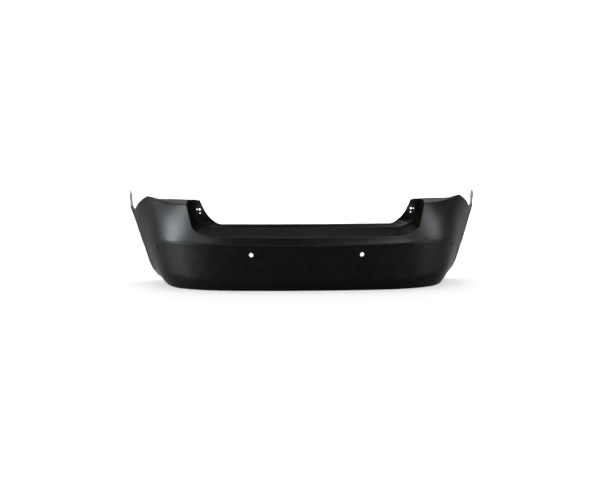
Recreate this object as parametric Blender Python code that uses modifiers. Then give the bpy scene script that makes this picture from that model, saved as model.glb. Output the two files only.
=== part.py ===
"""Rear bumper cover of a saloon car, with the pieces that stay on it when it comes off the car.

Metres, +Z up. The outer face looks along -Y and the car is on the +Y side. X = 0 is the plane of symmetry,
Y = 0 is midway between the rearmost point and the wheel-arch tabs, and Z = 0 is the lowest edge of the cover.

The cover is one thin moulding. Its face is a plan curve (seen from above) with an inward offset that grows up
and down from a crease line. Over the face lie the boot recess (three nested outlines), the lamp shelves, the
wheel-arch flanges with their upright tabs, and the bottom flange.
"""

import math

import bmesh
import bpy
import numpy as np
from mathutils import Matrix, Vector

# ---------------------------------------------------------------- driving dimensions
WALL = 0.003
GAP = 0.0004
DEPTH = 0.6313

# plan curve at the crease: heading against arc length from the centre
CENTRE_RADIUS = 3.3
CORNER_TURN = math.radians(48.5)
CORNER_START = 0.34
CORNER_END = 0.98
PLAN_LENGTH = 1.35

# heights on the face
CREASE_Z = 0.223
CREASE_RISE = 0.014
LOWER_CREASE_Z = 0.053
BOTTOM_RISE = 0.030
RECESS_TOP_Z = 0.4425
PEAK = (0.806, 0.455)
NOTCH = (0.884, 0.3765)

# boot recess: each outline is a run, a knee and a rise, as (x, z)
RECESS_DEPTH = 0.095
KNEE_LEAN = 0.012
BROW_OUTLINE = ((0.0, 0.2625), (0.455, 0.2665), (0.557, 0.272), (0.567, 0.331), (0.5895, 0.423))
ROOT_OUTLINE = ((0.0, 0.3050), (0.440, 0.3050), (0.536, 0.304), (0.5500, 0.371), (0.5600, 0.4425))
EDGE_OUTLINE = ((0.0, 0.3225), (0.410, 0.3225), (0.458, 0.3225), (0.4990, 0.388), (0.5255, 0.4425))

# flanges
SILL_LIP = 0.020
QUARTER_RETURN = 0.014
BOTTOM_FLANGE = 0.040
BOTTOM_FLANGE_Z = 0.010
ARCH_RADIUS = 0.37
ARCH_CENTRE = (0.825, 0.085)
ARCH_FLANGE = 0.020
TAB_HEIGHT = 0.088
TAB_LEAN = Vector((0.11, 0.23, 1.0))
TAB_WIDTHS = (0.019, 0.016, 0.015, 0.018, 0.018, 0.013, 0.005)

# columns of the cover's mesh, from the centre to the wheel arch, and its rows
RUN_COLUMNS, KNEE_COLUMNS, RISE_COLUMNS = 8, 7, 4
LAMP_COLUMNS, QUARTER_COLUMNS, SIDE_COLUMNS = 6, 3, 3
UNDER_ROWS, LOWER_ROWS, UPPER_ROWS = 2, 4, 5

# parking sensors
SENSOR_HOLE = 0.022
HOLDER_PLATE = 0.042
HOLDER_COLLAR = 0.029
HOLDER_DEPTH = 0.0125
HOLDER_GAP = 0.0016
SENSORS = {"inner": (0.271, 0.1795), "outer": (0.7435, 0.198)}

# fixings, as places (x, z), distances along the cover and sizes
LAMP_PLATE_AT = (0.526, 0.392)
LAMP_PLATE = (0.040, 0.048, 0.0022)
LAMP_HOLES = ((0.0, 0.004, 0.0055), (0.0135, 0.004, 0.0035), (-0.002, -0.0145, 0.0035))
RETAINER_X = (0.20, 0.50)
RETAINER_HOLE = 0.0092
PIN_TRAVEL = 0.008
STIFFENER_HALF = 0.345
RIVET_X = (0.10, 0.30)
ARCH_RETAINER_Z = 0.200
ARCH_NUT_Z = (0.125, 0.280)
TAB_HOLE = 0.007


# ---------------------------------------------------------------- the face of the cover
def smooth(t):
    t = np.clip(t, 0.0, 1.0)
    return t * t * (3 - 2 * t)


STATIONS = np.linspace(0.0, PLAN_LENGTH, 2701)
HEADINGS = STATIONS / CENTRE_RADIUS + CORNER_TURN * smooth(
    (STATIONS - CORNER_START) / (CORNER_END - CORNER_START)
)
STEP = STATIONS[1]
PLAN_X = np.concatenate([[0.0], np.cumsum(np.cos((HEADINGS[1:] + HEADINGS[:-1]) / 2)) * STEP])
PLAN_Y = np.concatenate([[0.0], np.cumsum(np.sin((HEADINGS[1:] + HEADINGS[:-1]) / 2)) * STEP])


def crease_height(s):
    return CREASE_Z + CREASE_RISE * smooth(s / 0.80)


def bottom_height(s):
    return BOTTOM_RISE * smooth((s - 0.66) / 0.45)


def inset(s, z):
    """How far the face lies inside the plan curve."""
    corner = smooth((s - 0.35) / 0.60)
    flank = smooth((s - 0.70) / 0.40)
    below = max(crease_height(s) - z, 0.0)
    above = max(z - crease_height(s), 0.0)
    tuck = (0.05 + 0.07 * corner + 0.03 * flank) * below
    lean = 0.15 * flank * (0.375 - z)
    under_z = LOWER_CREASE_Z + 0.045 * corner
    under = (0.016 + 0.012 * corner + 0.010 * flank) * (max(under_z - z, 0.0) / under_z) ** 1.7
    scoop = 0.0225 * (1 - smooth((s - 0.55) / 0.35)) * (1 - math.exp(-above / 0.05))
    crown = (0.35 * (1 - flank) + 0.65 * math.exp(-(((s - 0.80) / 0.17) ** 2))) * above**2
    return tuck + lean + under + scoop + crown


def heading(s):
    return float(np.interp(s, STATIONS, HEADINGS))


def inward(s):
    return Vector((-math.sin(heading(s)), math.cos(heading(s)), 0.0))


def face_point(s, z, depth=0.0):
    """The point of the outer face at arc length s and height z, or one this deep inside it."""
    plan = Vector((np.interp(s, STATIONS, PLAN_X), np.interp(s, STATIONS, PLAN_Y), z))
    return plan + inward(s) * (inset(s, z) + depth)


def face_normal(s, z):
    along = face_point(s + 0.002, z) - face_point(s - 0.002, z)
    up = face_point(s, z + 0.002) - face_point(s, z - 0.002)
    return along.cross(up).normalized()


def station_at_x(x, z):
    s = float(np.interp(x, PLAN_X, STATIONS))
    for _ in range(12):
        s = float(np.interp(x + inset(s, z) * math.sin(heading(s)), PLAN_X, STATIONS))
    return s


def arch_station(z):
    y = ARCH_CENTRE[0] - math.sqrt(ARCH_RADIUS**2 - (z - ARCH_CENTRE[1]) ** 2)
    return float(np.interp(y, PLAN_Y, STATIONS))


# ---------------------------------------------------------------- outlines over the face
def outline(points, columns):
    """Points (x, z) along a run, a knee (a quadratic curve) and a straight rise."""
    start, run_end, knee, knee_end, top = (Vector(p) for p in points)
    run, bend, rise = columns
    found = [start.lerp(run_end, i / run) for i in range(run)]
    for i in range(bend):
        t = i / bend
        found.append(run_end.lerp(knee, t).lerp(knee.lerp(knee_end, t), t))
    return found + [knee_end.lerp(top, i / rise) for i in range(rise + 1)]


def recess_point(x, z, lean=0.0):
    """A point of the panel at the back of the boot recess."""
    y = float(np.interp(x, PLAN_X, PLAN_Y))
    return Vector((x, y + RECESS_DEPTH + lean, z))


def cover_columns():
    """The columns of the right half, each a list of points from the bottom flange to the top edge."""
    counts = (RUN_COLUMNS, KNEE_COLUMNS, RISE_COLUMNS)
    lamp, quarter, side = LAMP_COLUMNS, QUARTER_COLUMNS, SIDE_COLUMNS
    brow, root, edge = (outline(o, counts) for o in (BROW_OUTLINE, ROOT_OUTLINE, EDGE_OUTLINE))
    corner = len(brow) - 1
    tops = [(station_at_x(x, z), z) for x, z in brow]
    peak = (station_at_x(*PEAK), PEAK[1])
    notch = (station_at_x(*NOTCH), NOTCH[1])
    arch_top = (arch_station(NOTCH[1] + 0.008), NOTCH[1] + 0.008)
    for i in range(1, lamp + 1):
        t = i / lamp
        sag = 0.010 * math.sin(math.pi * t)
        tops.append((tops[corner][0] * (1 - t) + peak[0] * t, tops[corner][1] * (1 - t) + peak[1] * t - sag))
    for i in range(1, quarter + 1):
        t = i / quarter
        bulge = 0.006 * math.sin(math.pi * t)
        tops.append((peak[0] * (1 - t) + notch[0] * t, peak[1] * (1 - t) + notch[1] * t + bulge))
    for i in range(1, side + 1):
        t = i / side
        tops.append((notch[0] * (1 - t) + arch_top[0] * t, notch[1] * (1 - t) + arch_top[1] * t))
    last = len(tops) - 1

    # The crease runs straight under the outlines, so that the columns fan out towards the rise of the recess.
    run = counts[0]
    crease_end = arch_station(crease_height(1.0))
    knee_start, lamp_start = tops[run][0], tops[corner][0] + 0.045
    creases = [tops[i][0] for i in range(run)]
    creases += [knee_start + (lamp_start - knee_start) * i / (corner - run) for i in range(corner - run)]
    creases += [lamp_start + (peak[0] + 0.01 - lamp_start) * i / lamp for i in range(lamp)]
    rest = quarter + side
    creases += [peak[0] + 0.01 + (crease_end - peak[0] - 0.01) * i / rest for i in range(rest + 1)]
    bottom_end = arch_station(BOTTOM_RISE)
    bottoms = [s * bottom_end / crease_end for s in creases]

    columns = []
    for i in range(last + 1):
        near_arch = max(0.0, (i - corner - lamp) / rest) ** 2
        top, crease, bottom = tops[i], creases[i], bottoms[i]
        low = (bottom, bottom_height(bottom))
        mid = (crease, crease_height(crease))
        faces = []
        for j in range(UNDER_ROWS):
            faces.append(on_way(low, mid, 0.26 * j / UNDER_ROWS, near_arch))
        for j in range(LOWER_ROWS):
            faces.append(on_way(low, mid, 0.26 + 0.74 * j / LOWER_ROWS, near_arch))
        for j in range(UPPER_ROWS + 1):
            faces.append(on_way(mid, top, j / UPPER_ROWS, near_arch))
        points = [face_point(s, z) for s, z in faces]
        s, z = faces[0]
        under = [points[0] + inward(s) * d + Vector((0, 0, BOTTOM_FLANGE_Z)) for d in (BOTTOM_FLANGE, 0.010)]
        columns.append(under + points)
        share = smooth((i - run) / counts[1])
        columns[-1] += back_of(i, corner, lamp, points[-1], top[0], root, edge, share)
    return columns, 2 + UNDER_ROWS + LOWER_ROWS + UPPER_ROWS


def on_way(low, high, t, near_arch):
    """A point of the face between two heights, drawn onto the wheel-arch circle near the arch."""
    s = low[0] * (1 - t) + high[0] * t
    z = low[1] * (1 - t) + high[1] * t
    return s + near_arch * (arch_station(z) - s), z


def wall_bend(head, foot, share):
    """Where the recess wall turns: on the straight line in the sill, and well back on the sides."""
    straight = head.lerp(foot, 0.8)
    bent = Vector((head.x - 0.004, foot.y - 0.018, head.z + (foot.z - head.z) * 0.9))
    return straight.lerp(bent, share)


def back_of(i, corner, lamp, top, s, root, edge, share):
    """The points of column i beyond the face's top edge."""
    if i <= corner:
        foot = recess_point(*root[i])
        free = recess_point(*edge[i], lean=0.004 + KNEE_LEAN * math.sin(math.pi * share) ** 3)
        turn = wall_bend(top, foot, share)
        lip = SILL_LIP * (1 - smooth((edge[i][0] - 0.36) / 0.12)) + 0.006
        return [top.lerp(turn, 0.5), turn, foot, foot.lerp(free, 0.5), free, free + Vector((0, lip, 0.0))]
    shelf = max(0.0, 1 - (i - corner) / lamp)
    reach = QUARTER_RETURN + (0.098 - QUARTER_RETURN) * shelf**0.8
    foot = top + inward(s) * reach
    foot.z = RECESS_TOP_Z * smooth(shelf * 3) + (top.z - 0.002) * (1 - smooth(shelf * 3))
    turn = wall_bend(top, foot, 0.0)
    return [top.lerp(turn, 0.5), turn, foot]


def cover_half():
    """The right half of the cover as one open surface."""
    columns, top_row = cover_columns()
    mesh = bmesh.new()
    grid = [[mesh.verts.new(p) for p in column] for column in columns]
    for left, right in zip(grid, grid[1:]):
        for j in range(min(len(left), len(right)) - 1):
            mesh.faces.new((left[j], right[j], right[j + 1], left[j + 1]))
    add_arch_flange(mesh, grid[-1][2 : top_row + 1])
    return mesh


def add_arch_flange(mesh, edge):
    """The flange inside the wheel-arch edge, and the tab that stands up from its top end."""
    inner = []
    for vert in edge:
        s = float(np.interp(vert.co.y, PLAN_Y, STATIONS))
        inner.append(mesh.verts.new(vert.co + inward(s) * ARCH_FLANGE))
    for j in range(len(edge) - 1):
        mesh.faces.new((edge[j], inner[j], inner[j + 1], edge[j + 1]))
    outer, lean = edge[-1], TAB_LEAN.normalized()
    across = (inner[-1].co - outer.co).normalized()
    previous = (edge[-1], inner[-1])
    for k, width in enumerate(TAB_WIDTHS[1:], 1):
        rise = lean * TAB_HEIGHT * (k / (len(TAB_WIDTHS) - 1)) ** 0.85
        middle = outer.co + across * TAB_WIDTHS[0] / 2 + rise
        pair = tuple(mesh.verts.new(middle + across * width * side) for side in (-0.5, 0.5))
        mesh.faces.new((previous[0], previous[1], pair[1], pair[0]))
        previous = pair


# ---------------------------------------------------------------- placing
def frame(centre, outward, across):
    """A placement whose +Z runs out of the surface and whose +X lies as near as it can to across."""
    z = outward.normalized()
    y = z.cross(across).normalized()
    placed = Matrix((y.cross(z), y, z)).transposed().to_4x4()
    placed.translation = centre - Vector((0, DEPTH / 2, 0))
    return placed


def mirrored(placed):
    """The placement on the other side of the car; +X still runs the same way along the cover."""
    return Matrix.Diagonal((-1, 1, 1, 1)) @ placed @ Matrix.Diagonal((1, -1, 1, 1))


def sensor_frame(name):
    x, z = SENSORS[name]
    s = station_at_x(x, z)
    return frame(face_point(s, z), face_normal(s, z), face_point(s + 0.01, z) - face_point(s, z))


def lamp_frame():
    x, z = LAMP_PLATE_AT
    across = recess_point(x + 0.01, z, 0.0012) - recess_point(x - 0.01, z, 0.0028)
    return frame(recess_point(x, z, 0.002), across.cross(Vector((0, 0, 1))), across)


def retainer_frame(x):
    s = station_at_x(x, 0.0)
    seat = face_point(s, bottom_height(s)) + inward(s) * 0.025
    return frame(Vector((seat.x, seat.y, bottom_height(s) + BOTTOM_FLANGE_Z)), Vector((0, 0, -1)), Vector((1, 0, 0)))


def arch_frame(z, depth):
    """A place on the wheel-arch flange: +Z looks forward into the wheel arch, +X runs to the free edge."""
    s = arch_station(z)
    rise = face_point(arch_station(z + 0.01), z + 0.01) - face_point(arch_station(z - 0.01), z - 0.01)
    return frame(face_point(s, z) + inward(s) * depth, inward(s).cross(rise), inward(s))


def tab_frame(share):
    """A place on the tab above the wheel arch, this share of the way up."""
    z = NOTCH[1] + 0.008
    s = arch_station(z)
    lean = TAB_LEAN.normalized()
    centre = face_point(s, z) + inward(s) * TAB_WIDTHS[0] / 2 + lean * TAB_HEIGHT * share
    return frame(centre, inward(s).cross(lean), inward(s))


# ---------------------------------------------------------------- objects
def link(obj, collection, colour=(0.03, 0.03, 0.032), roughness=0.5, metallic=0.0):
    collection.objects.link(obj)
    material = bpy.data.materials.new(obj.name)
    material.use_nodes = True
    shader = material.node_tree.nodes["Principled BSDF"]
    shader.inputs["Base Color"].default_value = (*colour, 1.0)
    shader.inputs["Roughness"].default_value = roughness
    shader.inputs["Metallic"].default_value = metallic
    obj.data.materials.append(material)
    return obj


def new_object(name, mesh):
    data = bpy.data.meshes.new(name)
    bmesh.ops.translate(mesh, verts=mesh.verts, vec=(0, -DEPTH / 2, 0))
    mesh.to_mesh(data)
    mesh.free()
    return bpy.data.objects.new(name, data)


def turned(name, profile, steps=16):
    """A closed outline (radius, height) turned about +Z; the outline runs down its outer side."""
    mesh = bpy.data.meshes.new(name)
    loop = [(r, 0.0, z) for r, z in profile]
    closed = [(i, (i + 1) % len(loop)) for i in range(len(loop))]
    mesh.from_pydata(loop, closed if profile[0][0] > 0 else closed[:-1], [])
    obj = bpy.data.objects.new(name, mesh)
    screw = obj.modifiers.new("turn", "SCREW")
    screw.axis = "Z"
    screw.steps = steps
    screw.render_steps = steps
    screw.use_merge_vertices = True
    screw.merge_threshold = 0.00001
    screw.use_smooth_shade = True
    return obj


def box(mesh, low, high):
    """Add a box between two corners."""
    low, high = Vector(low), Vector(high)
    size = high - low
    placed = Matrix.Translation((low + high) / 2) @ Matrix.Diagonal((*size, 1.0))
    bmesh.ops.create_cube(mesh, size=1.0, matrix=placed)


def cut(target, cutter):
    """Take the cutter's shape out of the target."""
    boolean = target.modifiers.new(cutter.name, "BOOLEAN")
    boolean.operation = "DIFFERENCE"
    boolean.solver = "EXACT"
    boolean.object = cutter


def drill(name, cutters, placed, radius, centre=(0.0, 0.0), reach=0.03):
    """A cylinder cutter on a placement's +Z."""
    mesh = bmesh.new()
    at = Matrix.Translation((centre[0], centre[1], 0.0))
    sides = 32 if radius > 0.01 else 14
    bmesh.ops.create_cone(
        mesh, cap_ends=True, segments=sides, radius1=radius, radius2=radius, depth=2 * reach, matrix=at
    )
    data = bpy.data.meshes.new(name)
    mesh.to_mesh(data)
    mesh.free()
    obj = bpy.data.objects.new(name, data)
    obj.matrix_world = placed
    cutters.objects.link(obj)
    obj.hide_render = True
    obj.display_type = "WIRE"
    return obj


def ring(mesh, half, radius, height, count=32):
    """A closed ring of vertices: a circle, or a rounded square when its half width is given."""
    verts = []
    for i in range(count):
        a = 2 * math.pi * (i + 0.5) / count
        c, s = math.cos(a), math.sin(a)
        r = half / (abs(c) ** 5 + abs(s) ** 5) ** 0.2 if half else radius
        verts.append(mesh.verts.new((r * c, r * s, height)))
    return verts


def make_holder(name, parts, placed):
    """A plate welded behind the sensor hole, with the collar the sensor is pushed into."""
    mesh = bmesh.new()
    front = -WALL - HOLDER_GAP
    plate, rim = front - 0.0025, front - HOLDER_DEPTH
    bore = SENSOR_HOLE / 2 + 0.0003
    rings = [ring(mesh, 0, bore, front), ring(mesh, HOLDER_PLATE / 2, 0, front)]
    rings += [ring(mesh, HOLDER_PLATE / 2, 0, plate), ring(mesh, 0, HOLDER_COLLAR / 2, plate)]
    rings += [ring(mesh, 0, HOLDER_COLLAR / 2, rim), ring(mesh, 0, bore, rim)]
    for low, high in zip(rings, rings[1:] + rings[:1]):
        for i in range(len(low)):
            j = (i + 1) % len(low)
            mesh.faces.new((low[i], low[j], high[j], high[i]))
    bmesh.ops.recalc_face_normals(mesh, faces=mesh.faces)
    data = bpy.data.meshes.new(name)
    mesh.to_mesh(data)
    mesh.free()
    obj = link(bpy.data.objects.new(name, data), parts, (0.02, 0.02, 0.02), 0.55)
    obj.matrix_world = placed


def make_lamp_plate(name, parts, cutters, cover, placed, side):
    """The dark seat on the recess wall where the lamp's studs come through, with its holes."""
    width, height, thick = LAMP_PLATE
    mesh = bmesh.new()
    box(mesh, (-width / 2, -height / 2, 0.0008), (width / 2, height / 2, 0.0008 + thick))
    data = bpy.data.meshes.new(name)
    mesh.to_mesh(data)
    mesh.free()
    obj = link(bpy.data.objects.new(name, data), parts, (0.004, 0.004, 0.004), 0.35)
    bevel = obj.modifiers.new("corners", "BEVEL")
    bevel.width = 0.013
    bevel.segments = 4
    bevel.limit_method = "WEIGHT"
    weights = data.attributes.new("bevel_weight_edge", "FLOAT", "EDGE")
    for edge in data.edges:
        a, b = (data.vertices[i].co for i in edge.vertices)
        weights.data[edge.index].value = 1.0 if abs(a.z - b.z) > thick / 2 else 0.0
    obj.matrix_world = placed
    for i, (x, z, radius) in enumerate(LAMP_HOLES, 1):
        cutter = drill(f"{name}_hole_{i}", cutters, placed, radius, (x, side * z), 0.012)
        cut(obj, cutter)
        cut(cover, cutter)


def make_cover(parts):
    cover = link(new_object("cover_skin", cover_half()), parts)
    mirror = cover.modifiers.new("both_sides", "MIRROR")
    mirror.merge_threshold = 0.00005
    shell = cover.modifiers.new("wall", "SOLIDIFY")
    shell.thickness = WALL
    shell.offset = -1
    shell.use_even_offset = True
    return cover


def make_stiffener(parts, cutters, cover):
    """The angle strip under the sill of the boot recess and the rivets that hold it."""
    xs = [STIFFENER_HALF * i / 8 for i in range(-8, 9)]
    top = EDGE_OUTLINE[0][1] - WALL - GAP
    near, far = 0.004 + WALL + 0.0008, 0.004 + SILL_LIP + 0.004
    section = ((near, top), (far, top), (far, top - 0.002), (near + 0.002, top - 0.002))
    section += ((near + 0.002, top - 0.013), (near, top - 0.013))
    mesh = bmesh.new()
    loops = []
    for x in xs:
        y = float(np.interp(abs(x), PLAN_X, PLAN_Y)) + RECESS_DEPTH
        loops.append([mesh.verts.new((x, y + dy, z)) for dy, z in section])
    for left, right in zip(loops, loops[1:]):
        for i in range(len(section)):
            j = (i + 1) % len(section)
            mesh.faces.new((left[i], left[j], right[j], right[i]))
    mesh.faces.new(loops[0])
    mesh.faces.new(reversed(loops[-1]))
    bmesh.ops.recalc_face_normals(mesh, faces=mesh.faces)
    strip = link(new_object("sill_stiffener", mesh), parts, (0.45, 0.46, 0.47), 0.35, 1.0)
    profile = ((0.0018, 0.0021), (0.0040, 0.0019), (0.0048, 0.0006), (0.0020, 0.0006))
    profile += ((0.0020, -0.0066), (0.0036, -0.0066), (0.0034, -0.0082), (0.0010, -0.0082), (0.0010, 0.0021))
    for i, x in enumerate((-RIVET_X[1], -RIVET_X[0], RIVET_X[0], RIVET_X[1]), 1):
        y = float(np.interp(abs(x), PLAN_X, PLAN_Y)) + RECESS_DEPTH + 0.004 + 0.017
        placed = Matrix.Translation((x, y - DEPTH / 2, EDGE_OUTLINE[0][1]))
        rivet = link(turned(f"sill_rivet_{i}", profile, 16), parts, (0.5, 0.5, 0.5), 0.3, 1.0)
        rivet.matrix_world = placed
        cutter = drill(f"rivet_hole_{i}", cutters, placed, 0.0026, reach=0.010)
        cut(cover, cutter)
        cut(strip, cutter)


def make_retainer(name, parts, cutters, cover, placed):
    """A push retainer: the expanding body through the flange and the pin that slides in it."""
    body = ((0.0030, 0.0024), (0.0070, 0.0024), (0.0085, 0.0016), (0.0085, 0.0006), (0.0040, 0.0006))
    body += ((0.0040, -0.0040), (0.0056, -0.0075), (0.0041, -0.0120), (0.0030, -0.0120))
    pin = ((0.0, 0.0044), (0.0050, 0.0040), (0.0052, 0.0028), (0.0026, 0.0028), (0.0026, -0.0095))
    pin += ((0.0022, -0.0110), (0.0, -0.0110))
    shell = link(turned(f"{name}_body", body), parts, (0.012, 0.012, 0.012), 0.4)
    shell.matrix_world = placed
    slider = link(turned(f"{name}_pin", pin), parts, (0.012, 0.012, 0.012), 0.4)
    slider.matrix_world = placed
    cut(cover, drill(f"{name}_hole", cutters, placed, RETAINER_HOLE / 2, reach=0.008))


def make_edge_nut(name, parts, cutters, cover, placed):
    """A spring nut folded over the free edge of the wheel-arch flange; +Z is the side that shows."""
    front, back = 0.0014, -WALL - 0.0014
    leg, bend, wide, thick = 0.0060, 0.0108, 0.0065, 0.0009
    outline_xz = ((-leg, front), (bend, front), (bend, back), (-leg, back), (-leg, back - thick))
    outline_xz += ((bend + thick, back - thick), (bend + thick, front + thick), (-leg, front + thick))
    mesh = bmesh.new()
    ends = [[mesh.verts.new((x, y, z)) for x, z in outline_xz] for y in (-wide, wide)]
    for i in range(len(outline_xz)):
        j = (i + 1) % len(outline_xz)
        mesh.faces.new((ends[0][i], ends[0][j], ends[1][j], ends[1][i]))
    mesh.faces.new(reversed(ends[0]))
    mesh.faces.new(ends[1])
    bmesh.ops.recalc_face_normals(mesh, faces=mesh.faces)
    data = bpy.data.meshes.new(name)
    mesh.to_mesh(data)
    mesh.free()
    obj = link(bpy.data.objects.new(name, data), parts, (0.35, 0.34, 0.32), 0.35, 1.0)
    obj.matrix_world = placed
    cutter = drill(f"{name}_hole", cutters, placed, 0.0025, (-0.0005, 0.0), 0.010)
    cut(obj, cutter)
    cut(cover, cutter)


def make_tab_grommet(name, parts, cutters, cover, placed):
    """The round push-in nut in the tab's hole."""
    outline_rz = ((0.0021, 0.0022), (0.0052, 0.0022), (0.0054, 0.0005), (0.0030, 0.0005))
    outline_rz += ((0.0030, -0.0035), (0.0046, -0.0035), (0.0042, -0.0048), (0.0021, -0.0048))
    obj = link(turned(name, outline_rz), parts, (0.006, 0.006, 0.006), 0.5)
    obj.matrix_world = placed
    cut(cover, drill(f"{name}_hole", cutters, placed, TAB_HOLE / 2, reach=0.008))


def main():
    for obj in list(bpy.data.objects):
        bpy.data.objects.remove(obj)
    parts = bpy.data.collections.new("bumper_cover")
    cutters = bpy.data.collections.new("cutters")
    for group in (parts, cutters):
        bpy.context.scene.collection.children.link(group)
    cover = make_cover(parts)
    make_stiffener(parts, cutters, cover)
    for side, place in (("right", Matrix.copy), ("left", mirrored)):
        for where in SENSORS:
            placed = place(sensor_frame(where))
            make_holder(f"sensor_holder_{where}_{side}", parts, placed)
            cut(cover, drill(f"sensor_hole_{where}_{side}", cutters, placed, SENSOR_HOLE / 2, reach=0.008))
        upward = 1 if side == "right" else -1
        make_lamp_plate(f"lamp_seat_{side}", parts, cutters, cover, place(lamp_frame()), upward)
        for i, x in enumerate(RETAINER_X, 1):
            make_retainer(f"retainer_{i}_{side}", parts, cutters, cover, place(retainer_frame(x)))
        placed = place(arch_frame(ARCH_RETAINER_Z, 0.0105))
        make_retainer(f"arch_retainer_{side}", parts, cutters, cover, placed)
        for i, z in enumerate(ARCH_NUT_Z, 1):
            placed = place(arch_frame(z, ARCH_FLANGE - 0.007))
            make_edge_nut(f"arch_nut_{i}_{side}", parts, cutters, cover, placed)
        make_tab_grommet(f"tab_nut_{side}", parts, cutters, cover, place(tab_frame(0.86)))


if __name__ == "__main__":
    main()
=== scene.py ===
"""The looks of the rear bumper cover: the fine skin, its materials, the floor, the light and the camera."""

import math

import bmesh
import bpy
import numpy as np
from mathutils import Matrix, Quaternion, Vector


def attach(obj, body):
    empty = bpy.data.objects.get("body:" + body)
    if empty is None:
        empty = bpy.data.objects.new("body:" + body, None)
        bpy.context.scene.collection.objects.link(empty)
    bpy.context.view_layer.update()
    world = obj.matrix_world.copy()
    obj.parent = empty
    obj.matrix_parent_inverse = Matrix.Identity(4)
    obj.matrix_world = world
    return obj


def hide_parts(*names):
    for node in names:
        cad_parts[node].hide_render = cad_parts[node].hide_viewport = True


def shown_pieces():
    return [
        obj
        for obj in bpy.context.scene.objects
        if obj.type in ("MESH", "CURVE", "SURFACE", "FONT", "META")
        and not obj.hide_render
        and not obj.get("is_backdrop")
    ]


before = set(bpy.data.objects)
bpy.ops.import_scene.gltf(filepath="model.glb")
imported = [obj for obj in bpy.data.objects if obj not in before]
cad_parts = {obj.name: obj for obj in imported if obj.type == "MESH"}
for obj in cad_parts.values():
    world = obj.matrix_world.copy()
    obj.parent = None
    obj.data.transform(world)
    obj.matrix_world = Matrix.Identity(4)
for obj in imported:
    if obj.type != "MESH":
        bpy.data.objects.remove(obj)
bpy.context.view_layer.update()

# -------------------------------------------------- the cover's dimensions in metres, as in the CAD
WALL = 0.003
DEPTH = 0.6313
CENTRE_RADIUS = 3.3
CORNER_TURN = math.radians(48.5)
CORNER_START = 0.34
CORNER_END = 0.98
PLAN_LENGTH = 1.35
CREASE_Z = 0.223
CREASE_RISE = 0.014
LOWER_CREASE_Z = 0.053
BOTTOM_RISE = 0.030
RECESS_TOP_Z = 0.4425
PEAK = (0.806, 0.455)
NOTCH = (0.884, 0.3765)
ARCH_TOP_Z = NOTCH[1] + 0.008
RECESS_DEPTH = 0.095
SILL_LEAN = 0.004
KNEE_LEAN = 0.012
BROW_OUTLINE = ((0.0, 0.2625), (0.455, 0.2665), (0.557, 0.272), (0.567, 0.331), (0.5895, 0.423))
ROOT_OUTLINE = ((0.0, 0.3050), (0.440, 0.3050), (0.536, 0.304), (0.5500, 0.371), (0.5600, 0.4425))
EDGE_OUTLINE = ((0.0, 0.3225), (0.410, 0.3225), (0.458, 0.3225), (0.4990, 0.388), (0.5255, 0.4425))
SILL_LIP = 0.020
QUARTER_RETURN = 0.014
LAMP_SHELF = 0.098
BOTTOM_FLANGE = 0.040
FLANGE_RISE = 0.010
ARCH_RADIUS = 0.37
ARCH_CENTRE = (0.825, 0.085)
ARCH_FLANGE = 0.020
TAB_HEIGHT = 0.088
TAB_LEAN = Vector((0.11, 0.23, 1.0))
TAB_WIDTHS = (0.019, 0.016, 0.015, 0.018, 0.018, 0.013, 0.005)
SENSOR_HOLE = 0.022
SENSORS = {"inner": (0.271, 0.1795), "outer": (0.7435, 0.198)}
LAMP_PLATE_AT = (0.526, 0.392)
LAMP_HOLES = ((0.0, 0.004, 0.0055), (0.0135, 0.004, 0.0035), (-0.002, -0.0145, 0.0035))
RETAINER_X = (0.20, 0.50)
RETAINER_HOLE = 0.0092
RETAINER_INSET = 0.025
RIVET_X = (0.10, 0.30)
RIVET_HOLE = 0.0052
RIVET_INSET = 0.021
ARCH_RETAINER_Z = 0.200
ARCH_RETAINER_INSET = 0.0105
ARCH_NUT_Z = (0.125, 0.280)
ARCH_NUT_INSET = ARCH_FLANGE - 0.007
ARCH_NUT_HOLE = 0.0050
TAB_HOLE = 0.007
TAB_HOLE_AT = 0.86

# shapes that only the fine skin has
CREASE_LEDGE = 0.0013
CREASE_LEDGE_RISE = 0.0022
SILL_CURL = 2.0
EDGE_BEVEL = 0.0007
BEVEL_ANGLE = math.radians(50)
SHARP_ANGLE = math.radians(38)

# columns of the fine skin along each stretch of its top edge, and rows up its face and its tab
RUN, KNEE, RISE, LAMP, QUARTER, SIDE = 30, 30, 16, 36, 14, 16
LOWER_ROWS, UPPER_ROWS, TAB_ROWS = 26, 22, 24

SOFT = 0.004  # rounding of the crease
CROWDING = 0.14  # how closely rows crowd at the crease


def smooth(t):
    """A ramp from 0 to 1 that starts and ends level."""
    t = np.clip(t, 0.0, 1.0)
    return t * t * (3 - 2 * t)


def soft_ramp(v):
    """v above zero and 0 below it, with a rounded start."""
    return (v + math.sqrt(v * v + SOFT * SOFT)) / 2 - SOFT / 2 * math.exp(-abs(v) / 0.02)


STATIONS = np.linspace(0.0, PLAN_LENGTH, 2701)
HEADINGS = STATIONS / CENTRE_RADIUS + CORNER_TURN * smooth(
    (STATIONS - CORNER_START) / (CORNER_END - CORNER_START)
)
STEP = STATIONS[1]
PLAN_X = np.concatenate([[0.0], np.cumsum(np.cos((HEADINGS[1:] + HEADINGS[:-1]) / 2)) * STEP])
PLAN_Y = np.concatenate([[0.0], np.cumsum(np.sin((HEADINGS[1:] + HEADINGS[:-1]) / 2)) * STEP])


def crease_height(s):
    """Height of the crease at a station, which is a length along the plan curve."""
    return CREASE_Z + CREASE_RISE * smooth(s / 0.80)


def bottom_height(s):
    return BOTTOM_RISE * smooth((s - 0.66) / 0.45)


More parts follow.
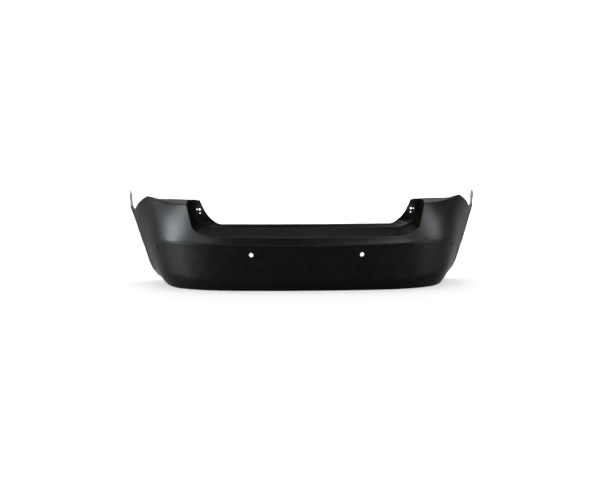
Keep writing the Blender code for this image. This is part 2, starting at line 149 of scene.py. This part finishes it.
def inset(s, z):
    """How far the face lies inside the plan curve."""
    corner = smooth((s - 0.35) / 0.60)
    flank = smooth((s - 0.70) / 0.40)
    below = soft_ramp(crease_height(s) - z)
    above = soft_ramp(z - crease_height(s))
    tuck = (0.05 + 0.07 * corner + 0.03 * flank) * below
    lean = 0.15 * flank * (0.375 - z)
    under_z = LOWER_CREASE_Z + 0.045 * corner
    under = (0.016 + 0.012 * corner + 0.010 * flank) * (max(under_z - z, 0.0) / under_z) ** 1.7
    scoop = 0.0225 * (1 - smooth((s - 0.55) / 0.35)) * (1 - math.exp(-above / 0.05))
    over = z - crease_height(s)
    ledge = CREASE_LEDGE * smooth(over / CREASE_LEDGE_RISE) * math.exp(-max(over, 0.0) / 0.03)
    crown = (0.35 * (1 - flank) + 0.65 * math.exp(-(((s - 0.80) / 0.17) ** 2))) * above**2
    return tuck + lean + under + scoop + crown + ledge


def heading(s):
    return float(np.interp(s, STATIONS, HEADINGS))


def inward(s):
    """The level direction into the car at a station."""
    return Vector((-math.sin(heading(s)), math.cos(heading(s)), 0.0))


def face_point(s, z, depth=0.0):
    plan = Vector((np.interp(s, STATIONS, PLAN_X), np.interp(s, STATIONS, PLAN_Y), z))
    return plan + inward(s) * (inset(s, z) + depth)


def face_normal(s, z):
    along = face_point(s + 0.002, z) - face_point(s - 0.002, z)
    up = face_point(s, z + 0.002) - face_point(s, z - 0.002)
    return along.cross(up).normalized()


def station_at_x(x, z):
    s = float(np.interp(x, PLAN_X, STATIONS))
    for _ in range(12):
        s = float(np.interp(x + inset(s, z) * math.sin(heading(s)), PLAN_X, STATIONS))
    return s


def arch_station(z):
    y = ARCH_CENTRE[0] - math.sqrt(ARCH_RADIUS**2 - (z - ARCH_CENTRE[1]) ** 2)
    return float(np.interp(y, PLAN_Y, STATIONS))


def outline(points):
    """Points along a sill outline: straight run, rounded knee and rise."""
    start, run_end, knee, knee_end, top = (Vector(p) for p in points)
    found = [start.lerp(run_end, i / RUN) for i in range(RUN)]
    for i in range(KNEE):
        t = i / KNEE
        found.append(run_end.lerp(knee, t).lerp(knee.lerp(knee_end, t), t))
    return found + [knee_end.lerp(top, i / RISE) for i in range(RISE + 1)]


def recess_point(x, z, lean=0.0):
    """A point on the back wall of the boot recess."""
    y = float(np.interp(x, PLAN_X, PLAN_Y))
    return Vector((x, y + RECESS_DEPTH + lean, z))


def bend(before, corner, after, radius, steps):
    """A rounded corner: a short curve from the point before it to the point after it."""
    a = corner + (before - corner).normalized() * min(radius, (before - corner).length * 0.45)
    b = corner + (after - corner).normalized() * min(radius, (after - corner).length * 0.45)
    return [a.lerp(corner, k / steps).lerp(corner.lerp(b, k / steps), k / steps) for k in range(steps + 1)]


def spread(count, low=0.0, high=0.0):
    """Values from 0 to 1, crowded towards the low or the high end."""
    t = np.linspace(0.0, 1.0, count)
    wave = np.sin(2 * np.pi * t)
    return t + low * wave * -CROWDING * (t < 0.5) + high * wave * -CROWDING * (t >= 0.5)


def between(a, b, steps):
    """The points strictly between two points."""
    return [a.lerp(b, k / steps) for k in range(1, steps)]


def curled(a, b, power, steps):
    """The points strictly between two points, where the way inward is made mostly near the end."""
    points = between(a, b, steps)
    for k, point in enumerate(points):
        point.y = a.y + (b.y - a.y) * ((k + 1) / steps) ** power
    return points


def on_way(low, high, t, near_arch):
    """Station and height between two (station, height) pairs, drawn to the wheel-arch edge."""
    s = low[0] * (1 - t) + high[0] * t
    z = low[1] * (1 - t) + high[1] * t
    return s + near_arch * (arch_station(z) - s), z


def skin_columns():
    """All the columns of the right half, from the middle of the car to the wheel-arch edge."""
    brow, root, edge = (outline(o) for o in (BROW_OUTLINE, ROOT_OUTLINE, EDGE_OUTLINE))
    corner = len(brow) - 1
    tops = [(station_at_x(x, z), z) for x, z in brow]
    peak = (station_at_x(*PEAK), PEAK[1])
    notch = (station_at_x(*NOTCH), NOTCH[1])
    arch_top = (arch_station(ARCH_TOP_Z), ARCH_TOP_Z)
    for i in range(1, LAMP + 1):
        t = i / LAMP
        sag = 0.010 * math.sin(math.pi * t)
        s, z = tops[corner]
        tops.append((s * (1 - t) + peak[0] * t, z * (1 - t) + peak[1] * t - sag))
    for i in range(1, QUARTER + 1):
        t = i / QUARTER
        bulge = 0.006 * math.sin(math.pi * t)
        tops.append((peak[0] * (1 - t) + notch[0] * t, peak[1] * (1 - t) + notch[1] * t + bulge))
    for i in range(1, SIDE + 1):
        t = i / SIDE
        tops.append((notch[0] * (1 - t) + arch_top[0] * t, notch[1] * (1 - t) + arch_top[1] * t))

    crease_end = arch_station(crease_height(1.0))
    knee_start, lamp_start = tops[RUN][0], tops[corner][0] + 0.045
    creases = [tops[i][0] for i in range(RUN)]
    creases += [knee_start + (lamp_start - knee_start) * i / (corner - RUN) for i in range(corner - RUN)]
    creases += [lamp_start + (peak[0] + 0.01 - lamp_start) * i / LAMP for i in range(LAMP)]
    rest = QUARTER + SIDE
    creases += [peak[0] + 0.01 + (crease_end - peak[0] - 0.01) * i / rest for i in range(rest + 1)]
    bottom_end = arch_station(BOTTOM_RISE)
    columns = []
    for i, top in enumerate(tops):
        crease = creases[i]
        bottom = crease * bottom_end / crease_end
        near_arch = max(0.0, (i - corner - LAMP) / rest) ** 2
        low, mid = (bottom, bottom_height(bottom)), (crease, crease_height(crease))
        if i <= corner:
            share = smooth((i - RUN) / KNEE)
            foot = recess_point(*root[i])
            free = recess_point(*edge[i], lean=SILL_LEAN + KNEE_LEAN * math.sin(math.pi * share) ** 3)
            lip = SILL_LIP * (1 - smooth((edge[i][0] - 0.36) / 0.12)) + 0.006
            back = [foot, free, free + Vector((0, lip, 0.0))]
        else:
            share = 0.0
            shelf = max(0.0, 1 - (i - corner) / LAMP)
            reach = QUARTER_RETURN + (LAMP_SHELF - QUARTER_RETURN) * shelf**0.8
            head = face_point(*top)
            foot = head + inward(top[0]) * reach
            foot.z = RECESS_TOP_Z * smooth(shelf * 3) + (top[1] - 0.002) * (1 - smooth(shelf * 3))
            back = [foot]
        columns.append(column(low, mid, top, near_arch, back, share))
    return columns


def wall_bend(head, foot, share):
    """Where the recess wall turns: on the straight line in the sill, and well back on the sides."""
    straight = head.lerp(foot, 0.8)
    bent = Vector((head.x - 0.004, foot.y - 0.018, head.z + (foot.z - head.z) * 0.9))
    return straight.lerp(bent, share)


def column(low, mid, top, near_arch, back, share):
    """One column of points, and the numbers of the points at its lowest edge and at its top edge."""
    s, z = low
    edge = face_point(s, z)
    flange = [edge + inward(s) * d + Vector((0, 0, FLANGE_RISE)) for d in (BOTTOM_FLANGE, 0.010)]
    points = [flange[0]] + between(flange[0], flange[1], 6)
    points = points[:-1] + bend(points[-2], flange[1], edge, 0.004, 3)
    length = max(mid[1] - low[1], 0.01)
    starts = 0.004 / length
    first = face_point(*on_way(low, mid, starts, near_arch))
    points += bend(flange[1], edge, first, 0.0035, 4)
    lowest = len(points) - 3
    for t in spread(LOWER_ROWS, high=1.0)[:-1]:
        points.append(face_point(*on_way(low, mid, starts + (1 - starts) * t, near_arch)))
    stops = 1 - 0.0055 / max(top[1] - mid[1], 0.02)
    for t in spread(UPPER_ROWS, low=1.0):
        points.append(face_point(*on_way(mid, top, stops * t, near_arch)))
    head = face_point(*top)
    foot = back[0]
    turn = wall_bend(head, foot, share)
    fillet = 0.0048 if len(back) > 1 else 0.0030
    points += bend(points[-1], head, turn, fillet, 6)[1:]
    highest = len(points) - 4
    points += between(points[-1], turn, 7)
    if len(back) == 1:
        points += bend(points[-1], turn, foot, 0.010, 4)
        return points + between(points[-1], foot, 4) + [foot], lowest, highest
    points += bend(points[-1], turn, foot, 0.014, 4)
    points += between(points[-1], foot, 4)[:-1]
    points += bend(points[-1], foot, back[1], 0.0075, 6)
    points += curled(points[-1], back[1], 1 + SILL_CURL * math.sin(math.pi * share) ** 3, 8)
    points += bend(points[-1], back[1], back[2], 0.0030, 4)
    return points + between(points[-1], back[2], 3) + [back[2]], lowest, highest


def skin_half():
    """The right half of the fine skin as one open surface."""
    columns = skin_columns()
    mesh = bmesh.new()
    grid = [[mesh.verts.new(p) for p in points] for points, _, _ in columns]
    for left, right in zip(grid, grid[1:]):
        for j in range(min(len(left), len(right)) - 1):
            mesh.faces.new((left[j], right[j], right[j + 1], left[j + 1]))
    lowest, highest = columns[-1][1:]
    add_arch_flange(mesh, grid[-1][lowest : highest + 1])
    return mesh


def add_arch_flange(mesh, edge):
    """The flange inside the wheel-arch edge, and the tab that stands up from its top end."""
    shares = (0.25, 0.5, 0.75, 1.0)
    rows = []
    for vert in edge:
        s = float(np.interp(vert.co.y, PLAN_Y, STATIONS))
        rows.append([vert] + [mesh.verts.new(vert.co + inward(s) * ARCH_FLANGE * d) for d in shares])
    outer, lean = edge[-1].co, TAB_LEAN.normalized()
    across = (rows[-1][-1].co - outer).normalized()
    marks = [TAB_HEIGHT * (k / (len(TAB_WIDTHS) - 1)) ** 0.85 for k in range(len(TAB_WIDTHS))]
    for k in range(1, TAB_ROWS + 1):
        rise = TAB_HEIGHT * math.sin(0.5 * math.pi * k / TAB_ROWS) ** 0.9
        width = float(np.interp(rise, marks, TAB_WIDTHS))
        tooth = 0.0022 * max(0.0, 1 - abs(rise / TAB_HEIGHT - 0.80) / 0.035)
        middle = outer + across * TAB_WIDTHS[0] / 2 + lean * rise
        row = [middle + across * width * (d - 0.5) for d in (0.0,) + shares]
        row[-1] = row[-1] + across * tooth
        rows.append([mesh.verts.new(p) for p in row])
    for i, (low, high) in enumerate(zip(rows, rows[1:])):
        for j in range(len(shares)):
            face = mesh.faces.new((low[j], low[j + 1], high[j + 1], high[j]))
            # Tab faces take slot 2, the lighter tab grey, which is painted light.
            face.material_index = 2 if i >= len(edge) else 0


# ---------------------------------------------------------------- places on the cover, as in the CAD
def place_at(centre, outward, across):
    """A placement whose Z axis points outward and whose X axis lies across."""
    z = outward.normalized()
    y = z.cross(across).normalized()
    placed = Matrix((y.cross(z), y, z)).transposed().to_4x4()
    placed.translation = centre - Vector((0, DEPTH / 2, 0))
    return placed


def mirrored(placed):
    """The same placement on the other side of the car."""
    return Matrix.Diagonal((-1, 1, 1, 1)) @ placed @ Matrix.Diagonal((1, -1, 1, 1))


def sensor_place(name):
    x, z = SENSORS[name]
    s = station_at_x(x, z)
    return place_at(face_point(s, z), face_normal(s, z), face_point(s + 0.01, z) - face_point(s, z))


def lamp_place():
    x, z = LAMP_PLATE_AT
    across = recess_point(x + 0.01, z, 0.0012) - recess_point(x - 0.01, z, 0.0028)
    return place_at(recess_point(x, z, 0.002), across.cross(Vector((0, 0, 1))), across)


def retainer_place(x):
    s = station_at_x(x, 0.0)
    seat = face_point(s, bottom_height(s)) + inward(s) * RETAINER_INSET
    seat.z = bottom_height(s) + FLANGE_RISE
    return place_at(seat, Vector((0, 0, -1)), Vector((1, 0, 0)))


def arch_place(z, depth):
    s = arch_station(z)
    rise = face_point(arch_station(z + 0.01), z + 0.01) - face_point(arch_station(z - 0.01), z - 0.01)
    return place_at(face_point(s, z) + inward(s) * depth, inward(s).cross(rise), inward(s))


def tab_place(share):
    s = arch_station(ARCH_TOP_Z)
    lean = TAB_LEAN.normalized()
    centre = face_point(s, ARCH_TOP_Z) + inward(s) * TAB_WIDTHS[0] / 2 + lean * TAB_HEIGHT * share
    return place_at(centre, inward(s).cross(lean), inward(s))


def all_holes():
    """Every hole through the skin as (placement, x, y, radius, reach)."""
    holes = []
    for side, place in ((1, Matrix.copy), (-1, mirrored)):
        for name in SENSORS:
            holes.append((place(sensor_place(name)), 0, 0, SENSOR_HOLE / 2, 0.008))
        for x, z, radius in LAMP_HOLES:
            holes.append((place(lamp_place()), x, side * z, radius, 0.012))
        for x in RETAINER_X:
            holes.append((place(retainer_place(x)), 0, 0, RETAINER_HOLE / 2, 0.008))
        arch_hole = arch_place(ARCH_RETAINER_Z, ARCH_RETAINER_INSET)
        holes.append((place(arch_hole), 0, 0, RETAINER_HOLE / 2, 0.008))
        for z in ARCH_NUT_Z:
            holes.append((place(arch_place(z, ARCH_NUT_INSET)), -0.0005, 0, ARCH_NUT_HOLE / 2, 0.010))
        holes.append((place(tab_place(TAB_HOLE_AT)), 0, 0, TAB_HOLE / 2, 0.008))
        for x in RIVET_X:
            y = float(np.interp(x, PLAN_X, PLAN_Y)) + RECESS_DEPTH + RIVET_INSET - DEPTH / 2
            rivet_hole = Matrix.Translation((side * x, y, EDGE_OUTLINE[0][1]))
            holes.append((rivet_hole, 0, 0, RIVET_HOLE / 2, 0.010))
    return holes


# ---------------------------------------------------------------- mesh helpers
def mesh_object(name, mesh):
    data = bpy.data.meshes.new(name)
    mesh.to_mesh(data)
    mesh.free()
    obj = bpy.data.objects.new(name, data)
    bpy.context.scene.collection.objects.link(obj)
    return obj


def settle(obj):
    """Apply the object's modifiers and mark its sharp edges."""
    bpy.context.view_layer.update()
    graph = bpy.context.evaluated_depsgraph_get()
    data = bpy.data.meshes.new_from_object(obj.evaluated_get(graph), depsgraph=graph)
    obj.modifiers.clear()
    old = obj.data
    obj.data = data
    bpy.data.meshes.remove(old)
    mesh = bmesh.new()
    mesh.from_mesh(data)
    bmesh.ops.dissolve_degenerate(mesh, dist=1e-6, edges=mesh.edges)
    for face in mesh.faces:
        face.smooth = True
    for edge in mesh.edges:
        edge.smooth = edge.is_manifold and edge.calc_face_angle(0.0) < SHARP_ANGLE
    mesh.to_mesh(data)
    mesh.free()


def hole_cutter():
    """One mesh with a cylinder through every hole."""
    mesh = bmesh.new()
    for placed, x, y, radius, reach in all_holes():
        at = placed @ Matrix.Translation((x, y, 0))
        sides = 64 if radius > 0.01 else 28
        bmesh.ops.create_cone(
            mesh, cap_ends=True, segments=sides, radius1=radius, radius2=radius, depth=2 * reach, matrix=at
        )
    return mesh_object("hole_cutter", mesh)


def make_skin(materials):
    """The whole fine skin with its wall, rounded edges and holes."""
    half = skin_half()
    bmesh.ops.translate(half, verts=half.verts, vec=(0, -DEPTH / 2, 0))
    skin = mesh_object("fine_cover", half)
    mirror = skin.modifiers.new("both_sides", "MIRROR")
    mirror.merge_threshold = 0.00005
    shell = skin.modifiers.new("wall", "SOLIDIFY")
    shell.thickness = WALL
    shell.offset = -1
    shell.use_even_offset = False
    shell.use_quality_normals = True
    shell.material_offset = 1
    shell.material_offset_rim = 0
    edges = skin.modifiers.new("edges", "BEVEL")
    edges.width = EDGE_BEVEL
    edges.segments = 2
    edges.limit_method = "ANGLE"
    edges.angle_limit = BEVEL_ANGLE
    edges.use_clamp_overlap = True
    cutter = hole_cutter()
    holes = skin.modifiers.new("holes", "BOOLEAN")
    holes.operation = "DIFFERENCE"
    holes.solver = "EXACT"
    holes.object = cutter
    for material in materials:
        skin.data.materials.append(material)
    settle(skin)
    bpy.data.objects.remove(cutter)
    return skin


# ---------------------------------------------------------------- materials
SATIN_GLOSS = 0.028  # specular level of the primed face; the recess walls get none, which is painted shade


def new_material(name, colour, roughness, metallic=0.0, specular=0.5):
    material = bpy.data.materials.new(name)
    material.use_nodes = True
    tree = material.node_tree
    shader = tree.nodes["Principled BSDF"]
    shader.inputs["Base Color"].default_value = (*colour, 1.0)
    shader.inputs["Roughness"].default_value = roughness
    shader.inputs["Metallic"].default_value = metallic
    shader.inputs["Specular IOR Level"].default_value = specular
    return material, tree, shader


def noise(tree, scale, detail=3.0, rough=0.55):
    where = tree.nodes.new("ShaderNodeTexCoord")
    node = tree.nodes.new("ShaderNodeTexNoise")
    node.inputs["Scale"].default_value = scale
    node.inputs["Detail"].default_value = detail
    node.inputs["Roughness"].default_value = rough
    tree.links.new(where.outputs["Object"], node.inputs["Vector"])
    return node


def remap(tree, value, low, high, to_low, to_high):
    """A value brought from one range to another, and kept within it."""
    node = tree.nodes.new("ShaderNodeMapRange")
    node.inputs["From Min"].default_value = low
    node.inputs["From Max"].default_value = high
    node.inputs["To Min"].default_value = to_low
    node.inputs["To Max"].default_value = to_high
    tree.links.new(value, node.inputs["Value"])
    return node.outputs["Result"]


def mixed(tree, factor, one, two):
    """A colour between two others."""
    node = tree.nodes.new("ShaderNodeMix")
    node.data_type = "RGBA"
    node.inputs["A"].default_value = (*one, 1.0)
    node.inputs["B"].default_value = (*two, 1.0)
    tree.links.new(factor, node.inputs["Factor"])
    return node.outputs["Result"]


def add_bump(tree, shader, height, strength, distance):
    node = tree.nodes.new("ShaderNodeBump")
    node.inputs["Strength"].default_value = strength
    node.inputs["Distance"].default_value = distance
    tree.links.new(height, node.inputs["Height"])
    tree.links.new(node.outputs["Normal"], shader.inputs["Normal"])


def facing_centre(tree):
    """How far a face looks towards the middle of the cover, as the recess walls do: the mask for painted
    shade on them.
    """
    where = tree.nodes.new("ShaderNodeTexCoord")
    place, facing = (tree.nodes.new("ShaderNodeSeparateXYZ") for _ in range(2))
    tree.links.new(where.outputs["Object"], place.inputs["Vector"])
    tree.links.new(where.outputs["Normal"], facing.inputs["Vector"])
    side, product = (tree.nodes.new("ShaderNodeMath") for _ in range(2))
    side.operation, product.operation = "SIGN", "MULTIPLY"
    tree.links.new(place.outputs["X"], side.inputs[0])
    tree.links.new(side.outputs["Value"], product.inputs[0])
    tree.links.new(facing.outputs["X"], product.inputs[1])
    return remap(tree, product.outputs["Value"], 0.0, -1.0, 0.0, 1.0)


def primed_plastic():
    """Satin black primer over polypropylene: a faint orange peel, uneven sheen and a little dust, with
    painted shade where the sheen is taken off faces turned towards the middle of the cover.
    """
    material, tree, shader = new_material("primed_plastic", (0.0007, 0.0006, 0.0005), 0.40)
    dark, dusty = (0.0005, 0.0004, 0.0003), (0.0010, 0.0009, 0.0007)
    broad = noise(tree, 3.2, 4.0)
    cloud = noise(tree, 26.0, 5.0, 0.65)
    peel = noise(tree, 620.0, 2.0)
    colour = mixed(tree, remap(tree, cloud.outputs["Fac"], 0.35, 0.75, 0.0, 1.0), dark, dusty)
    tree.links.new(colour, shader.inputs["Base Color"])
    sheen = tree.nodes.new("ShaderNodeMath")
    sheen.operation = "ADD"
    tree.links.new(remap(tree, broad.outputs["Fac"], 0.3, 0.7, 0.36, 0.43), sheen.inputs[0])
    tree.links.new(remap(tree, cloud.outputs["Fac"], 0.3, 0.8, -0.025, 0.035), sheen.inputs[1])
    tree.links.new(sheen.outputs["Value"], shader.inputs["Roughness"])
    add_bump(tree, shader, peel.outputs["Fac"], 0.10, 0.0004)
    # Painted shade: faces that look towards the middle, such as the recess walls, lose their specular and
    # read near black.
    painted_shade_gloss = remap(tree, facing_centre(tree), 0.20, 0.55, SATIN_GLOSS, 0.0)
    tree.links.new(painted_shade_gloss, shader.inputs["Specular IOR Level"])
    return material


def moulded_plastic(name, colour, roughness, grain=900.0, specular=0.4):
    """Bare moulded plastic: fine spark grain and a streaky sheen."""
    material, tree, shader = new_material(name, colour, roughness, specular=specular)
    spots = noise(tree, grain, 2.0, 0.7)
    flow = noise(tree, 14.0, 5.0, 0.6)
    light = tuple(c * 1.45 for c in colour)
    dark = tuple(c * 0.75 for c in colour)
    tint = mixed(tree, remap(tree, flow.outputs["Fac"], 0.3, 0.75, 0.0, 1.0), dark, light)
    tree.links.new(tint, shader.inputs["Base Color"])
    rough = remap(tree, flow.outputs["Fac"], 0.3, 0.7, roughness - 0.06, roughness + 0.08)
    tree.links.new(rough, shader.inputs["Roughness"])
    add_bump(tree, shader, spots.outputs["Fac"], 0.25, 0.0005)
    return material


def plated_metal(name, colour, roughness, spangle=90.0):
    """Plated or phosphated steel, or aluminium: patches of sheen and fine scratches."""
    material, tree, shader = new_material(name, colour, roughness, metallic=1.0)
    patches = tree.nodes.new("ShaderNodeTexVoronoi")
    patches.inputs["Scale"].default_value = spangle
    where = tree.nodes.new("ShaderNodeTexCoord")
    tree.links.new(where.outputs["Object"], patches.inputs["Vector"])
    fine = noise(tree, 1400.0, 2.0)
    light = tuple(min(1.0, c * 1.25) for c in colour)
    dark = tuple(c * 0.7 for c in colour)
    tint = mixed(tree, remap(tree, patches.outputs["Color"], 0.1, 0.9, 0.0, 1.0), dark, light)
    tree.links.new(tint, shader.inputs["Base Color"])
    rough = remap(tree, patches.outputs["Color"], 0.0, 1.0, roughness - 0.07, roughness + 0.10)
    tree.links.new(rough, shader.inputs["Roughness"])
    add_bump(tree, shader, fine.outputs["Fac"], 0.12, 0.0002)
    return material


# ---------------------------------------------------------------- the object
outer = primed_plastic()
inner = moulded_plastic("bare_polypropylene", (0.008, 0.008, 0.0078), 0.52, 700.0, 0.3)
# Painted light: the tabs' lighter grey stands in for light showing through the thin plastic and for its
# grazing reflection.
tab = moulded_plastic("tab_painted_light", (0.020, 0.021, 0.021), 0.55, 500.0, 0.3)
skin = make_skin((outer, inner, tab, tab))
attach(skin, "cover")
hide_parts("cover_skin")

NODE_LOOKS = {
    "sensor_holder": moulded_plastic("holder_plastic", (0.016, 0.016, 0.016), 0.45, 1100.0),
    "lamp_seat": moulded_plastic("seat_plastic", (0.0012, 0.0012, 0.0012), 0.45, 1100.0, 0.08),
    "sill_stiffener": plated_metal("zinc_plate", (0.42, 0.43, 0.45), 0.38, 120.0),
    "sill_rivet": plated_metal("rivet_metal", (0.60, 0.60, 0.61), 0.30, 400.0),
    "arch_nut": plated_metal("spring_steel", (0.16, 0.15, 0.14), 0.42, 300.0),
    "tab_nut": moulded_plastic("tab_nut_plastic", (0.003, 0.003, 0.003), 0.5, 1300.0),
    "retainer": moulded_plastic("retainer_plastic", (0.010, 0.010, 0.010), 0.38, 1300.0),
    "arch_retainer": moulded_plastic("arch_retainer_plastic", (0.010, 0.010, 0.010), 0.38, 1300.0),
}
for name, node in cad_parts.items():
    for start, material in NODE_LOOKS.items():
        if name.startswith(start):
            node.data.materials.clear()
            node.data.materials.append(material)


# ---------------------------------------------------------------- floor, backdrop, light and camera
def make_stage():
    """A pale floor that turns up into a backdrop a long way behind."""
    mesh = bmesh.new()
    reach, back, rise, turn = 30.0, 12.0, 14.0, 4.0
    profile = [(-reach, 0.0), (back, 0.0)]
    for angle in np.linspace(0.1, math.pi / 2, 12):
        profile.append((back + turn * math.sin(angle), turn * (1 - math.cos(angle))))
    profile.append((back + turn, rise))
    rows = [[mesh.verts.new((x, y, z)) for x in (-reach, reach)] for y, z in profile]
    for low, high in zip(rows, rows[1:]):
        mesh.faces.new((low[0], low[1], high[1], high[0])).smooth = True
    stage = mesh_object("stage", mesh)
    stage.data.materials.append(new_material("stage_paint", (0.86, 0.86, 0.86), 0.9, specular=0.1)[0])
    stage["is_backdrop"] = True
    return stage


def area_light(name, place, target, size, power, colour=(1, 1, 1)):
    """A soft box of a width and height, aimed at a point."""
    data = bpy.data.lights.new(name, "AREA")
    data.shape = "RECTANGLE"
    data.size, data.size_y = size
    data.energy = power
    data.color = colour
    light = bpy.data.objects.new(name, data)
    bpy.context.scene.collection.objects.link(light)
    light.location = place
    light.rotation_euler = (Vector(target) - Vector(place)).to_track_quat("-Z", "Y").to_euler()
    return light


def fall_only_on(pieces, *lights):
    """These lights fall on these pieces alone, as if flags kept them off the rest."""
    lit = bpy.data.collections.new("lit_" + lights[0].name)
    for piece in pieces:
        lit.objects.link(piece)
    for light in lights:
        light.light_linking.receiver_collection = lit


def sun_light(name, direction, strength, spread_deg, shadow=True):
    """A broad, even light from far off."""
    data = bpy.data.lights.new(name, "SUN")
    data.use_shadow = shadow
    data.energy = strength
    data.angle = math.radians(spread_deg)
    light = bpy.data.objects.new(name, data)
    bpy.context.scene.collection.objects.link(light)
    light.rotation_euler = Vector(direction).to_track_quat("-Z", "Y").to_euler()
    return light


def studio_world(dark, pale):
    """A soft surround, pale on the far side of the object and dark on the camera's side."""
    world = bpy.data.worlds.new("studio")
    world.use_nodes = True
    tree = world.node_tree
    where = tree.nodes.new("ShaderNodeTexCoord")
    parts = tree.nodes.new("ShaderNodeSeparateXYZ")
    tree.links.new(where.outputs["Generated"], parts.inputs["Vector"])
    level = remap(tree, parts.outputs["Y"], -0.5, 0.6, dark, pale)
    tree.links.new(level, tree.nodes["Background"].inputs["Strength"])
    tree.nodes["Background"].inputs["Color"].default_value = (1, 1, 1, 1)
    bpy.context.scene.world = world


KEY_TINT, FILL_TINT, STRIP_TINT = (0.88, 0.96, 1.0), (0.90, 0.94, 1.0), (0.92, 0.93, 1.0)
LEFT_TINT = (0.93, 0.94, 1.0)
stage = make_stage()
left_key = area_light("left_key", (-3.9, -0.95, 0.70), (-0.66, -0.10, 0.30), (1.6, 1.0), 1400, KEY_TINT)
right_fill = area_light("right_fill", (3.9, -1.20, 0.70), (0.64, -0.12, 0.30), (0.9, 0.7), 500, FILL_TINT)
right_strip = area_light("right_strip", (2.6, -3.2, 3.0), (0.45, -0.20, 0.24), (1.4, 0.6), 760, STRIP_TINT)
left_strip = area_light("left_strip", (-2.6, -2.6, 1.9), (0.5, -0.1, 0.35), (1.2, 0.5), 210, LEFT_TINT)
top_light = sun_light("top_light", (0.03, -0.02, -1.0), 4.6, 36)
fall_only_on(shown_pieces(), left_key, right_fill, right_strip, left_strip, top_light)
floor_light = sun_light("floor_light", (0.0, -0.05, -1.0), 1.2, 60)
floor_wash = sun_light("floor_wash", (0.0, 0.0, -1.0), 2.0, 10, shadow=False)
fall_only_on([stage], floor_light, floor_wash)
area_light("back_wash", (0.0, 5.0, 6.5), (0.0, 15.0, 3.5), (14.0, 3.0), 2400)
studio_world(0.02, 0.32)
bpy.context.scene.view_settings.view_transform = "Standard"

camera = bpy.data.objects.new("camera", bpy.data.cameras.new("camera"))
bpy.context.scene.collection.objects.link(camera)
bpy.context.scene.camera = camera
camera.data.sensor_width = 36.0
camera.data.lens = 63.9
camera.location = (-0.2030, -5.1370 - DEPTH / 2, 0.7261)
yaw, pitch, roll = (math.radians(a) for a in (1.893, 5.249, -0.194))
sight = Vector((math.sin(yaw) * math.cos(pitch), math.cos(yaw) * math.cos(pitch), -math.sin(pitch)))
camera.rotation_euler = (Quaternion(sight, -roll) @ sight.to_track_quat("-Z", "Y")).to_euler()
